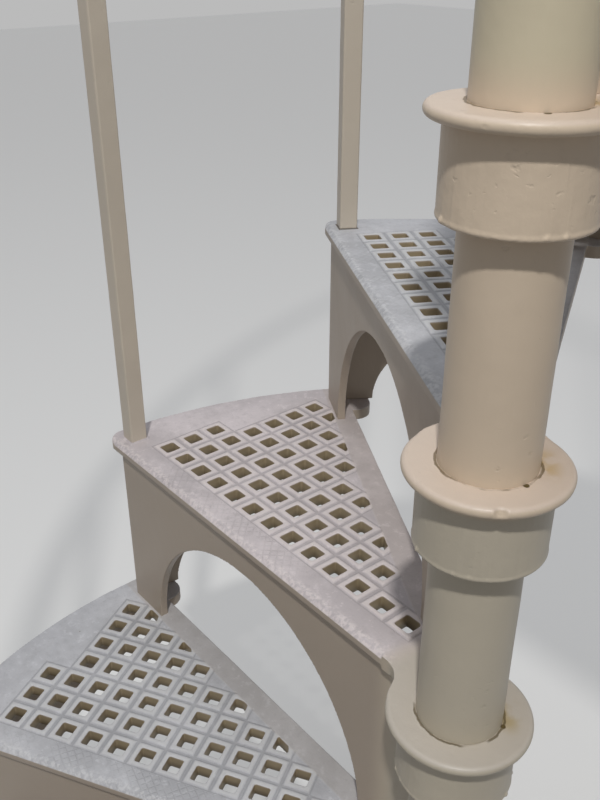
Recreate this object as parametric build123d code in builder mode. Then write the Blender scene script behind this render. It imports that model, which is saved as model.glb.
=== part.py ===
from build123d import *
import os
from math import asin, atan2, cos, degrees, hypot, radians, sin, sqrt, tan

# Cast iron spiral staircase: perforated treads threaded on a newel post.
# Millimetres, +Z up, origin on the floor at the centre of the post.
# The stair climbs clockwise seen from above, and the landing's nosing lies along -Y.
# In a step's own frame x runs outward along the nosing and y runs back towards
# the foot of the stair, so whatever lies behind the nosing has a negative y.

# Flight
tread_count = 5
rise = 220.0
turn = 30.0
landing_angle = -90.0
outer_radius = 535.0

# Newel post and its base
post_radius = 32.5
post_wall = 5.0
post_above_rail = 78.0
bore_clearance = 0.6
base_side = 300.0
base_corner = 24.0
base_thickness = 14.0
base_boss_radius = 48.0
base_boss_height = 66.0
base_bolt_spacing = 230.0
base_bolt_hole = 14.0

# Hub of each tread
flange_radius = 55.5
flange_thickness = 8.0
flange_taper = 12.0
boss_radius = 45.0
boss_depth = 62.0

# Tread plate
plate_thickness = 14.0
nosing_overhang = 6.0
nosing_bevel = 4.0
rear_strip = 23.0
corner_round = 20.0
hub_round = 22.0

# Square holes, counted from the front outer corner of the tread
hole_side = 17.0
hole_pitch = 31.25
first_hole_inset = 70.0
first_hole_back = 37.4
outer_column_holes = 3
rear_border = 2.5
rim_border = 31.0
hole_overrun = 0.8

# Riser under the nosing, with its arch
riser_thickness = 9.0
riser_inset = 25.0
arch_start = 103.0
arch_leg = 57.0
arch_crown = 31.0

# Bracket along the rim, behind the riser's outer leg
bracket_thickness = 8.0
bracket_foot = 54.0
bracket_curve = 75.0
bracket_lean = 50.0

# Lug behind the rear outer corner, which carries the next riser's foot
lug_inset = 61.0
lug_reach = 49.0
lug_round = 20.0
lug_heel = 9.0

# Balusters and handrail
baluster_side = 20.0
baluster_inset = 27.0
baluster_back = 17.5
baluster_height = 900.0
rail_width = 40.0
rail_thickness = 12.0
rail_sections = 2
rail_start_turn = 10.0
rail_bend_lead = 22.0
seat_clearance = 0.3

# Landing
landing_length = 535.0
landing_lip = 70.0
landing_lip_thickness = 10.0
landing_bolt_hole = 12.0
landing_bolt_spacing = 320.0
landing_bolt_drop = 44.0
landing_balusters = 3
guard_balusters = 2
guard_inset = 16.0

# Cap of the newel post
cap_radius = 42.0
cap_skirt = 26.0
cap_shoulder = 10.0
cap_rise = 28.0
cap_crown = 30.0

landing_step = tread_count + 1
landing_level = landing_step * rise
bore_radius = post_radius + bore_clearance
riser_reach = outer_radius - riser_inset
first_hole_out = outer_radius - first_hole_inset
lug_start = outer_radius - lug_inset
baluster_out = outer_radius - baluster_inset
clear_base = base_side + 2 * seat_clearance
clear_boss = base_boss_radius + seat_clearance
rail_radius = hypot(baluster_out, baluster_back)
rail_lag = degrees(asin(baluster_back / rail_radius))
rail_slope = atan2(rise, rail_radius * radians(turn))

os.makedirs("parts", exist_ok=True)


def save(piece, name):
    """Label a finished piece and write it to its own file."""
    piece.part.label = name
    export_step(piece.part, "parts/" + name + ".step")


def step_angle(step):
    """Direction of a step's nosing, in degrees from +X."""
    return landing_angle + turn * (landing_step - step)


def level_plane(step, height=0.0):
    """Level plane over the top of a step, turned to its own frame."""
    return Plane.XY.offset(step * rise + height).rotated((0, 0, step_angle(step)))


def riser_plane(step):
    """Upright plane through the post and the nosing, facing back under the tread."""
    angle = radians(step_angle(step))
    outward = (cos(angle), sin(angle), 0)
    backward = (sin(angle), -cos(angle), 0)
    return Plane(origin=(0, 0, step * rise), x_dir=outward, z_dir=backward)


def rim_plane(step):
    """Upright plane beyond the rim, its x running back from the nosing."""
    angle = radians(step_angle(step))
    backward = (sin(angle), -cos(angle), 0)
    inward = (-cos(angle), -sin(angle), 0)
    centre = (outer_radius * cos(angle), outer_radius * sin(angle), step * rise)
    return Plane(origin=centre, x_dir=backward, z_dir=inward)


def near(sketch, x, y):
    """The corner of a sketch that lies nearest to a point of it."""
    return sketch.vertices().sort_by_distance((x, y, 0))[0]


def hole_places():
    """Centres of a tread's holes: a square grid, short of the rim and of the rear border."""
    places = []
    columns = int(first_hole_out / hole_pitch)
    for column in range(columns):
        out = first_hole_out - column * hole_pitch
        for row in range(columns):
            back = first_hole_back + row * hole_pitch
            overrun = back * cos(radians(turn)) - out * sin(radians(turn)) + rear_border
            corner = hypot(out + hole_side / 2, back + hole_side / 2)
            crowded = column == 0 and row >= outer_column_holes
            if overrun < hole_overrun and corner < outer_radius - rim_border and not crowded:
                places.append((out, -back))
    return places


def rear_point(out, back):
    """Point of the next step's nosing frame, seen from this step's frame."""
    side = radians(turn)
    return (out * cos(side) - back * sin(side), -out * sin(side) - back * cos(side))


def rim_bracket(step):
    """Curved cheek that follows the rim from the riser's leg up to the plate."""
    lean = radians(bracket_lean)
    curve_end = (
        bracket_foot + bracket_curve * (1 - cos(lean)),
        -rise + bracket_curve * sin(lean),
    )
    top_reach = curve_end[0] + (-plate_thickness - curve_end[1]) * tan(lean)
    with BuildPart() as bracket:
        with BuildSketch(level_plane(step, -rise)):
            Circle(riser_reach)
            Circle(riser_reach - bracket_thickness, mode=Mode.SUBTRACT)
            with Locations((riser_reach / 2, -riser_reach / 2)):
                Rectangle(riser_reach, riser_reach, mode=Mode.INTERSECT)
        extrude(amount=rise - plate_thickness)
        with BuildSketch(rim_plane(step)):
            with BuildLine():
                Polyline((0, -plate_thickness), (0, -rise), (bracket_foot, -rise))
                RadiusArc((bracket_foot, -rise), curve_end, bracket_curve)
                Polyline(curve_end, (top_reach, -plate_thickness), (0, -plate_thickness))
            make_face()
        extrude(amount=outer_radius, mode=Mode.INTERSECT)
    return bracket


def hub(step):
    """Flange and boss of a step, bored for the post."""
    with BuildPart() as ring:
        with BuildSketch(riser_plane(step)):
            with BuildLine():
                Polyline(
                    (bore_radius, 0),
                    (flange_radius, 0),
                    (flange_radius, -flange_thickness),
                    (boss_radius, -flange_thickness),
                    (boss_radius, -boss_depth),
                    (bore_radius, -boss_depth),
                    (bore_radius, 0),
                )
            make_face()
        revolve(axis=Axis.Z)
    return ring


def hub_undercut(step):
    """What is taken from under the plate round a hub, so that its flange is thin there."""
    with BuildPart() as ring:
        with BuildSketch(riser_plane(step)):
            with BuildLine():
                Polyline(
                    (bore_radius, -flange_thickness),
                    (flange_radius, -flange_thickness),
                    (flange_radius + flange_taper, -plate_thickness),
                    (bore_radius, -plate_thickness),
                    (bore_radius, -flange_thickness),
                )
            make_face()
        revolve(axis=Axis.Z)
    return ring


def riser(step):
    """Upright web under the nosing, with a round arch between its two legs."""
    arch_end = riser_reach - arch_leg
    arch_top = ((arch_start + arch_end) / 2, -plate_thickness - arch_crown)
    with BuildPart() as web:
        with BuildSketch(riser_plane(step)):
            with BuildLine():
                Polyline((arch_start, -rise), (bore_radius, -rise), (bore_radius, -flange_thickness))
                Line((bore_radius, -flange_thickness), (riser_reach, -flange_thickness))
                Polyline((riser_reach, -flange_thickness), (riser_reach, -rise), (arch_end, -rise))
                ThreePointArc((arch_start, -rise), arch_top, (arch_end, -rise))
            make_face()
        extrude(amount=riser_thickness)
        if step == 1:
            with Locations((0, 0, base_thickness / 2)):
                Box(clear_base, clear_base, base_thickness, mode=Mode.SUBTRACT)
            with Locations((0, 0, base_boss_height / 2)):
                Cylinder(clear_boss, base_boss_height, mode=Mode.SUBTRACT)
    return web


def nosing_bevels(step):
    """Two long wedges that bevel the plate's front edge above and below."""
    start = level_plane(step).from_local_coords((flange_radius + hub_round, 0, 0))
    angle = radians(step_angle(step))
    across = Plane(origin=start, x_dir=(-sin(angle), cos(angle), 0), z_dir=(cos(angle), sin(angle), 0))
    with BuildPart() as wedges:
        with BuildSketch(across):
            for edge, inside in ((0, -nosing_bevel), (-plate_thickness, nosing_bevel)):
                with BuildLine():
                    Polyline(
                        (nosing_overhang - nosing_bevel, edge),
                        (nosing_overhang, edge),
                        (nosing_overhang, edge + inside),
                        (nosing_overhang - nosing_bevel, edge),
                    )
                make_face()
        extrude(amount=outer_radius)
    return wedges


def tread(step):
    """One casting: perforated plate, riser with its arch, rim bracket, lug and hub."""
    cheek = rim_bracket(step)
    ring = hub(step)
    undercut = hub_undercut(step)
    web = riser(step)
    bevels = nosing_bevels(step)
    lug_heel_point = rear_point(sqrt(outer_radius**2 - lug_reach**2), lug_reach)
    lug_length = outer_radius - lug_start + rim_border
    lug_centre = rear_point(lug_start + lug_length / 2, lug_reach / 2)
    with BuildPart() as casting:
        with BuildSketch(level_plane(step)) as outline:
            with BuildLine():
                Polyline(
                    (0, nosing_overhang),
                    (2 * outer_radius, nosing_overhang),
                    rear_point(2 * outer_radius, rear_strip),
                    rear_point(0, rear_strip),
                    (0, nosing_overhang),
                )
            make_face()
            with Locations(Location(lug_centre, -turn)):
                Rectangle(lug_length, lug_reach)
            Circle(outer_radius, mode=Mode.INTERSECT)
            Circle(flange_radius)
            fillet(near(outline, outer_radius, nosing_overhang), corner_round)
            fillet(near(outline, *rear_point(lug_start, lug_reach)), lug_round)
            fillet(near(outline, *lug_heel_point), lug_heel)
            fillet(near(outline, flange_radius, nosing_overhang), hub_round)
            fillet(near(outline, *rear_point(flange_radius, rear_strip)), hub_round)
        extrude(amount=-plate_thickness)
        add(bevels.part, mode=Mode.SUBTRACT)
        add(undercut.part, mode=Mode.SUBTRACT)
        add(web.part)
        add(cheek.part)
        add(ring.part)
        with BuildSketch(level_plane(step)):
            Circle(bore_radius)
        extrude(amount=-rise, mode=Mode.SUBTRACT)
        with BuildSketch(level_plane(step)):
            with Locations(*hole_places()):
                Rectangle(hole_side, hole_side)
            with BuildLine():
                Polyline(
                    (rear_border / sin(radians(turn)), 0),
                    (2 * outer_radius, 0),
                    rear_point(2 * outer_radius, -rear_border),
                    (rear_border / sin(radians(turn)), 0),
                )
            make_face(mode=Mode.INTERSECT)
        extrude(amount=-plate_thickness, mode=Mode.SUBTRACT)
    return casting


def landing():
    """Plain square plate at the upper floor, with the last riser and a lip for the floor beam."""
    step = landing_step
    lip_face = landing_frame(outer_radius / 2, landing_length, -landing_bolt_drop)
    cheek = rim_bracket(step)
    ring = hub(step)
    undercut = hub_undercut(step)
    web = riser(step)
    bevels = nosing_bevels(step)
    with BuildPart() as casting:
        with BuildSketch(level_plane(step)) as outline:
            with Locations((outer_radius / 2, (nosing_overhang - landing_length) / 2)):
                Rectangle(outer_radius, landing_length + nosing_overhang)
            Circle(flange_radius)
            fillet(near(outline, outer_radius, nosing_overhang), corner_round)
            fillet(near(outline, flange_radius, nosing_overhang), hub_round)
        extrude(amount=-plate_thickness)
        add(bevels.part, mode=Mode.SUBTRACT)
        add(undercut.part, mode=Mode.SUBTRACT)
        add(web.part)
        add(cheek.part)
        add(ring.part)
        with BuildSketch(level_plane(step)):
            Circle(bore_radius)
        extrude(amount=-rise, mode=Mode.SUBTRACT)
        with BuildSketch(level_plane(step)):
            with Locations((outer_radius / 2, landing_lip_thickness / 2 - landing_length)):
                Rectangle(outer_radius, landing_lip_thickness)
        extrude(amount=-landing_lip)
        with BuildSketch(lip_face):
            with GridLocations(landing_bolt_spacing, 0, 2, 1):
                Circle(landing_bolt_hole / 2)
        extrude(amount=-landing_lip_thickness, mode=Mode.SUBTRACT)
    return casting


def base():
    """Square foot plate with a socket for the post and four bolt holes."""
    with BuildPart() as foot:
        with BuildSketch() as plan:
            Rectangle(base_side, base_side)
            chamfer(plan.vertices(), base_corner)
        extrude(amount=base_thickness)
        with BuildSketch(Plane.XY.offset(base_thickness)):
            Circle(base_boss_radius)
        extrude(amount=base_boss_height - base_thickness)
        with BuildSketch(Plane.XY.offset(base_thickness)):
            Circle(bore_radius)
        extrude(amount=base_boss_height, mode=Mode.SUBTRACT)
        with BuildSketch():
            with GridLocations(base_bolt_spacing, base_bolt_spacing, 2, 2):
                Circle(base_bolt_hole / 2)
        extrude(amount=base_thickness, mode=Mode.SUBTRACT)
    return foot


def newel_post():
    """Tube from the socket of the base up past the landing."""
    with BuildPart() as tube:
        with BuildSketch(Plane.XY.offset(base_thickness)):
            Circle(post_radius)
            Circle(post_radius - post_wall, mode=Mode.SUBTRACT)
        extrude(amount=post_top - base_thickness)
    return tube


def newel_cap():
    """Low stepped cap with a skirt round the top of the post."""
    with BuildPart() as cap:
        with BuildSketch(Plane.XZ):
            with BuildLine():
                Polyline(
                    (0, post_top),
                    (0, post_top + cap_rise),
                    (cap_crown, post_top + cap_rise),
                    (cap_crown, post_top + cap_shoulder),
                    (cap_radius, post_top + cap_shoulder),
                    (cap_radius, post_top - cap_skirt),
                    (bore_radius, post_top - cap_skirt),
                    (bore_radius, post_top),
                    (0, post_top),
                )
            make_face()
        revolve(axis=Axis.Z)
    return cap


def rail_frame(turned, height=0.0):
    """Place on the balusters' circle, by the angle turned from the first baluster:
    x outward, y up across the rail and z along the climbing rail."""
    angle = radians(step_angle(1) - rail_lag - turned)
    level = rise * (1 + turned / turn) + baluster_height + height
    outward = (cos(angle), sin(angle), 0)
    along = (
        sin(angle) * cos(rail_slope),
        -cos(angle) * cos(rail_slope),
        sin(rail_slope),
    )
    centre = (rail_radius * cos(angle), rail_radius * sin(angle), level)
    return Plane(origin=centre, x_dir=outward, z_dir=along)


def sloping_rail(first, last):
    """Stretch of the helical handrail between two angles turned from the first baluster."""
    frame = rail_frame(first)
    helix = Helix(
        pitch=rise * 360 / turn,
        height=rise * (last - first) / turn,
        radius=rail_radius,
        center=(0, 0, frame.origin.Z),
        lefthand=True,
    ).rotate(Axis.Z, step_angle(1) - rail_lag - first)
    up = 1 if frame.y_dir.Z > 0 else -1
    with BuildPart() as rail:
        with BuildLine() as path:
            add(helix)
        with BuildSketch(frame):
            with Locations((0, up * rail_thickness / 2)):
                Rectangle(rail_width, rail_thickness)
        sweep(path=path.line, is_frenet=True)
        if last > bend_turn:
            split(bisect_by=bend, keep=Keep.BOTTOM)
    return rail


# The sloping rail meets the level one a little before the landing's first baluster.
last_turn = turn * tread_count
bend_turn = last_turn - degrees(rail_bend_lead / rail_radius)
bend_frame = rail_frame(bend_turn)
level_height = bend_frame.origin.Z - landing_level
post_top = landing_level + level_height + post_above_rail
bend = Plane(origin=bend_frame.origin, z_dir=bend_frame.z_dir + riser_plane(landing_step).z_dir)


def baluster(step):
    """Square bar from the tread's front outer corner to the sloping rail."""
    seat = rail_frame(turn * (step - 1), -seat_clearance)
    with BuildPart() as bar:
        with BuildSketch(level_plane(step)):
            with Locations((baluster_out, -baluster_back)):
                Rectangle(baluster_side, baluster_side)
        extrude(amount=baluster_height + baluster_side)
        cut = Plane(origin=seat.origin, x_dir=seat.x_dir, z_dir=seat.z_dir.cross(seat.x_dir))
        split(bisect_by=cut, keep=Keep.BOTTOM)
    return bar


def landing_frame(out, back, height=0.0):
    """Upright place on the landing: x outward, y up and z back, away from the last nosing."""
    angle = radians(step_angle(landing_step))
    outward = (cos(angle), sin(angle), 0)
    backward = (sin(angle), -cos(angle), 0)
    centre = level_plane(landing_step, height).from_local_coords((out, -back, 0))
    return Plane(origin=centre, x_dir=outward, z_dir=backward)


def level_rail(out, start, end):
    """Level stretch of handrail over the landing, parallel to its side."""
    with BuildPart() as rail:
        with BuildSketch(landing_frame(out, start, level_height)):
            with Locations((0, rail_thickness / 2)):
                Rectangle(rail_width, rail_thickness)
        extrude(amount=end - start)
        if start < 0:
            split(bisect_by=bend, keep=Keep.TOP)
    return rail


def landing_baluster(out, back):
    """Square bar from the landing to the level rail."""
    with BuildPart() as bar:
        with BuildSketch(level_plane(landing_step)):
            with Locations((out, -back)):
                Rectangle(baluster_side, baluster_side)
        extrude(amount=level_height - seat_clearance)
    return bar


for step in range(1, tread_count + 1):
    save(tread(step), "tread_%02d" % step)
    save(baluster(step), "baluster_%02d" % step)
save(landing(), "landing")
save(base(), "base_plate")
save(newel_post(), "newel_post")
save(newel_cap(), "newel_cap")

span = last_turn / rail_sections
for stretch in range(rail_sections):
    first = stretch * span if stretch else -rail_start_turn
    save(sloping_rail(first, (stretch + 1) * span), "handrail_%d" % (stretch + 1))

rail_end = landing_length - guard_inset + baluster_side / 2
save(level_rail(rail_radius, -rail_width, rail_end), "landing_rail")
save(level_rail(guard_inset, post_radius + seat_clearance, rail_end), "guard_rail")
last_back = landing_length - guard_inset
spread = (last_back - baluster_back) / (landing_balusters - 1)
for place in range(landing_balusters):
    bar = landing_baluster(baluster_out, baluster_back + place * spread)
    save(bar, "landing_baluster_%d" % (place + 1))
for place in range(guard_balusters):
    bar = landing_baluster(guard_inset, last_back - place * spread)
    save(bar, "guard_baluster_%d" % (place + 1))
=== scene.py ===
import math

import bmesh
import bpy
from mathutils import Matrix, Vector


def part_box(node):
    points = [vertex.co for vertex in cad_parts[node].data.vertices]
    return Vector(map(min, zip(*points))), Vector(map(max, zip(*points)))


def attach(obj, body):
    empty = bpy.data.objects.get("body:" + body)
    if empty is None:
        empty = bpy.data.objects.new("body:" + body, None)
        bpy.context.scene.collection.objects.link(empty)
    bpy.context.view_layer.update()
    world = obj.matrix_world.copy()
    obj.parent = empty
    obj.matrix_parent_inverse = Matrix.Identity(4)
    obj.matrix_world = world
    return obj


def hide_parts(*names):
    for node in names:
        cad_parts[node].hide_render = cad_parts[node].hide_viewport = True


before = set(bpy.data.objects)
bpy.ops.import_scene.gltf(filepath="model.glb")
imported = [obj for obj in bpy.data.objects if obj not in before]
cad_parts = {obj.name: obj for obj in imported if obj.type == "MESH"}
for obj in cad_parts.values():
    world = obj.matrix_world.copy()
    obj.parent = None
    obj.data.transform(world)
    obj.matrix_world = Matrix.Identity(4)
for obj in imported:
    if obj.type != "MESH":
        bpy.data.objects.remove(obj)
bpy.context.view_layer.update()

bl_info = {
    "name": "Cast Iron Spiral Stair",
    "version": (1, 0, 0),
    "blender": (4, 5, 0),
    "location": "View3D > Sidebar > Stair",
    "description": "Painted castings, post, balusters and rails of a spiral stair, with its stage",
    "category": "Add Mesh",
}

# Everything is in metres, +Z up, with the newel post along Z.
# A step's own frame has x outward along its nosing and y towards the foot of the stair.
TREADS = sorted(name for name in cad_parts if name.startswith("tread_"))
BALUSTERS = sorted(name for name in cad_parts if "baluster_" in name)
RAILS = sorted(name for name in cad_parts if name.endswith("_rail") or "handrail" in name)
TREAD_LEVELS = [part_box(name)[1].z for name in TREADS]
RISE = TREAD_LEVELS[1] - TREAD_LEVELS[0]
LANDING_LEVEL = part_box("landing")[1].z
LANDING_ANGLE = math.radians(-90)

# The step whose baluster stands open at its foot, and the step whose flange is nicked,
# with the direction of the nick in that step's own frame.
LOOSE_FOOT = "tread_04"
NICKED = "tread_04"
NICK_SIDE = math.radians(168)

# The tread whose dusty top is tinted warm as painted warm lamp light, the rest cool as painted cool light,
# and the treads at which the hubs and the post go from a darker tint, painted shade, to cream and from cream
# to yellow.
WARM_LIT_TREAD = "tread_03"
SHADED_BELOW = "tread_04"
YELLOW_ABOVE = "tread_05"


class StairSizes(bpy.types.PropertyGroup):
    """Sizes of the castings, in metres, as the frame has them."""

    turn: bpy.props.FloatProperty(
        name="Turn", description="Angle between nosings", default=math.radians(30), subtype="ANGLE"
    )
    outer_radius: bpy.props.FloatProperty(
        name="Outer radius", description="From the post's axis to the rim", default=0.535, unit="LENGTH"
    )
    plate: bpy.props.FloatProperty(
        name="Plate", description="Thickness of a tread's plate", default=0.014, unit="LENGTH"
    )
    overhang: bpy.props.FloatProperty(
        name="Nosing overhang", description="Nosing beyond the riser's face", default=0.006, unit="LENGTH"
    )
    hole: bpy.props.FloatProperty(
        name="Hole", description="Side of a square hole", default=0.017, unit="LENGTH"
    )
    pitch: bpy.props.FloatProperty(
        name="Hole pitch", description="From one hole to the next", default=0.03125, unit="LENGTH"
    )
    first_out: bpy.props.FloatProperty(
        name="First hole out", description="Outermost column of holes", default=0.4650, unit="LENGTH"
    )
    first_back: bpy.props.FloatProperty(
        name="First hole back", description="From the nosing to the first row", default=0.0374, unit="LENGTH"
    )
    rim_width: bpy.props.FloatProperty(
        name="Rim width", description="Raised rim round a hole", default=0.0048, unit="LENGTH"
    )
    rim_height: bpy.props.FloatProperty(
        name="Rim height", description="Rim above the plate", default=0.0005, unit="LENGTH"
    )
    groove: bpy.props.FloatProperty(
        name="Groove", description="Depth of the lines between the rims", default=0.0004, unit="LENGTH"
    )
    hatch: bpy.props.FloatProperty(
        name="Hatch", description="Pitch of the hatch on the front border", default=0.0098, unit="LENGTH"
    )
    strip: bpy.props.FloatProperty(
        name="Rear strip", description="Plain strip behind the holes", default=0.0250, unit="LENGTH"
    )
    flange_radius: bpy.props.FloatProperty(
        name="Flange radius", description="Flange of a hub", default=0.0555, unit="LENGTH"
    )
    flange_depth: bpy.props.FloatProperty(
        name="Flange depth", description="Thickness of a flange", default=0.008, unit="LENGTH"
    )
    boss_radius: bpy.props.FloatProperty(
        name="Boss radius", description="Boss under a flange", default=0.045, unit="LENGTH"
    )
    boss_depth: bpy.props.FloatProperty(
        name="Boss depth", description="Flange's top to the boss's lower lip", default=0.062, unit="LENGTH"
    )
    post_radius: bpy.props.FloatProperty(
        name="Post radius", description="Outside of the newel post", default=0.0325, unit="LENGTH"
    )
    baluster_side: bpy.props.FloatProperty(
        name="Baluster", description="Side of a square baluster", default=0.020, unit="LENGTH"
    )
    baluster_out: bpy.props.FloatProperty(
        name="Baluster out", description="From the post's axis to a baluster", default=0.508, unit="LENGTH"
    )
    baluster_back: bpy.props.FloatProperty(
        name="Baluster back", description="From the nosing to a baluster", default=0.0175, unit="LENGTH"
    )
    grain: bpy.props.FloatProperty(
        name="Grain", description="Size of the cells of the paint skin", default=0.0010, unit="LENGTH"
    )
    skin_share: bpy.props.FloatProperty(
        name="Skin share", description="Share of the faces kept in a tread", default=0.112, min=0.05, max=1.0
    )


class PaintColours(bpy.types.PropertyGroup):
    """Colours of the paint and of what has settled on it."""

    cream: bpy.props.FloatVectorProperty(
        name="Cream",
        description="Gloss paint of posts and risers",
        default=(0.665, 0.580, 0.450),
        subtype="COLOR",
    )
    # Risers: the cream darkened as painted shade, laid on the risers, legs and undersides of the castings.
    riser: bpy.props.FloatVectorProperty(
        name="Risers",
        description="Duller paint of the risers",
        default=(0.385, 0.315, 0.258),
        subtype="COLOR",
    )
    # Walking faces: dusty paint, tinted lilac partly as painted cool light from above.
    worn_and_cool_lit: bpy.props.FloatVectorProperty(
        name="Worn top",
        description="Dusty paint of the walking faces",
        default=(0.605, 0.558, 0.592),
        subtype="COLOR",
    )
    # Rims of the holes: paler rubbed paint, tinted lilac partly as painted cool light from above.
    rim: bpy.props.FloatVectorProperty(
        name="Rims",
        description="Rims of the holes, rubbed clean",
        default=(0.720, 0.660, 0.675),
        subtype="COLOR",
    )
    # Flange tops: the cream made paler and cooler as painted light from above.
    flange: bpy.props.FloatVectorProperty(
        name="Flange tops",
        description="Paler paint on the flanges",
        default=(0.680, 0.605, 0.540),
        subtype="COLOR",
    )
    bar: bpy.props.FloatVectorProperty(
        name="Balusters",
        description="Paler paint of balusters and rails",
        default=(0.645, 0.590, 0.525),
        subtype="COLOR",
    )
    wall: bpy.props.FloatVectorProperty(
        name="Hole walls",
        description="Tan primer and grime in the holes",
        default=(0.290, 0.235, 0.150),
        subtype="COLOR",
    )
    stain: bpy.props.FloatVectorProperty(
        name="Stain",
        description="Yellow brown weeping by the post",
        default=(0.520, 0.370, 0.130),
        subtype="COLOR",
    )


class StageSettings(bpy.types.PropertyGroup):
    """Camera, lamps and backdrop."""

    camera_place: bpy.props.FloatVectorProperty(
        name="Camera",
        description="Where the camera stands",
        default=(-0.2952, 0.3986, 1.1794),
        subtype="TRANSLATION",
    )
    heading: bpy.props.FloatProperty(
        name="Heading",
        description="Compass direction of the view, from +X",
        default=math.radians(-39.501),
        subtype="ANGLE",
    )
    pitch: bpy.props.FloatProperty(
        name="Pitch", description="How far the view looks up", default=math.radians(-27.960), subtype="ANGLE"
    )
    focal: bpy.props.FloatProperty(
        name="Focal length", description="In pixels of the 600 by 800 frame", default=887.9
    )
    key: bpy.props.FloatProperty(
        name="Key lamp", description="Power of the small lamp above and in front", default=62.0
    )
    above: bpy.props.FloatProperty(
        name="Top lamp", description="Power of the broad cool lamp overhead", default=21.0
    )
    fill: bpy.props.FloatProperty(name="Sky", description="Strength of the even light", default=0.27)
    backdrop: bpy.props.FloatProperty(
        name="Backdrop", description="Grey added to what the view shows", default=0.28
    )


class Link:
    """A socket that can stand in sums, in shader and geometry trees alike."""

    def __init__(self, graph, socket):
        self.graph = graph
        self.socket = socket

    def __add__(self, other):
        return self.graph.sum("ADD", self, other)

    def __radd__(self, other):
        return self.graph.sum("ADD", other, self)

    def __sub__(self, other):
        return self.graph.sum("SUBTRACT", self, other)

    def __rsub__(self, other):
        return self.graph.sum("SUBTRACT", other, self)

    def __mul__(self, other):
        return self.graph.sum("MULTIPLY", self, other)

    def __rmul__(self, other):
        return self.graph.sum("MULTIPLY", other, self)

    def __truediv__(self, other):
        return self.graph.sum("DIVIDE", self, other)

    def __rtruediv__(self, other):
        return self.graph.sum("DIVIDE", other, self)

    def __neg__(self):
        return self.graph.sum("MULTIPLY", self, -1.0)

    def __abs__(self):
        return self.graph.sum("ABSOLUTE", self)

    def __pow__(self, other):
        return self.graph.sum("POWER", self, other)

    def __lt__(self, other):
        return self.graph.sum("LESS_THAN", self, other)

    def __gt__(self, other):
        return self.graph.sum("GREATER_THAN", self, other)


class Graph:
    """Adds nodes to a shader or geometry tree."""

    def __init__(self, tree):
        self.tree = tree

    def put(self, socket, value):
        """Links a socket to a Link, or sets it to a plain value."""
        if isinstance(value, Link):
            self.tree.links.new(value.socket, socket)
        else:
            socket.default_value = value

    def node(self, kind, settings=None, values=None, output=0):
        """One node: its settings first, then its sockets by name or number. Gives one output."""
        added = self.tree.nodes.new(kind)
        for name, value in (settings or {}).items():
            setattr(added, name, value)
        for name, value in (values or {}).items():
            if isinstance(value, list):
                for link in value:
                    self.put(added.inputs[name], link)
            else:
                self.put(added.inputs[name], value)
        return Link(self, added.outputs[output])

    def sum(self, operation, *values):
        """One step of arithmetic on numbers."""
        return self.node("ShaderNodeMath", {"operation": operation}, dict(enumerate(values)))

    def smooth(self, value, low, high):
        """0 below low, 1 above high and a smooth step between."""
        settings = {"interpolation_type": "SMOOTHSTEP"}
        sockets = {"Value": value, "From Min": low, "From Max": high, "To Min": 0.0, "To Max": 1.0}
        return self.node("ShaderNodeMapRange", settings, sockets)

    def largest(self, one, two):
        return self.sum("MAXIMUM", one, two)

    def far_out(self, one, two):
        """Length of the slope of a right triangle on two sides."""
        return self.sum("SQRT", one ** 2.0 + two ** 2.0)

    def vector(self, x, y, z):
        return self.node("ShaderNodeCombineXYZ", None, {"X": x, "Y": y, "Z": z})

    def scaled(self, vector, share):
        return self.node("ShaderNodeVectorMath", {"operation": "SCALE"}, {0: vector, "Scale": share})

    def times(self, vector, other):
        """Two vectors or colours multiplied part by part."""
        return self.node("ShaderNodeVectorMath", {"operation": "MULTIPLY"}, {0: vector, 1: other})

    def distance(self, vector, place):
        sockets = {0: vector, 1: place}
        return self.node("ShaderNodeVectorMath", {"operation": "DISTANCE"}, sockets, output="Value")

    def blend(self, share, under, over):
        """A colour between two others."""
        sockets = {"Factor": share, 6: under, 7: over}
        return self.node("ShaderNodeMix", {"data_type": "RGBA"}, sockets, output=2)

    def apart(self, vector):
        """The three parts of a vector."""
        split = self.tree.nodes.new("ShaderNodeSeparateXYZ")
        self.put(split.inputs[0], vector)
        return [Link(self, output) for output in split.outputs]

    def plan_place(self):
        """How far out and how far back each point of a step's geometry lies."""
        out, across, _ = self.apart(self.node("GeometryNodeInputPosition"))
        return out, -across

    def moved(self, geometry, place, turned=(0.0, 0.0, 0.0)):
        """Geometry turned about its origin and then moved."""
        sockets = {"Geometry": geometry, "Translation": place, "Rotation": turned}
        return self.node("GeometryNodeTransform", None, sockets)

    def pushed(self, geometry, offset):
        """Geometry with each of its points moved by its own offset."""
        return self.node("GeometryNodeSetPosition", None, {"Geometry": geometry, "Offset": offset})

    def joined(self, pieces):
        return self.node("GeometryNodeJoinGeometry", None, {"Geometry": pieces})

    def rectangle(self, width, height):
        sockets = {"Width": width, "Height": height}
        return self.node("GeometryNodeCurvePrimitiveQuadrilateral", {"mode": "RECTANGLE"}, sockets)


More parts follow.
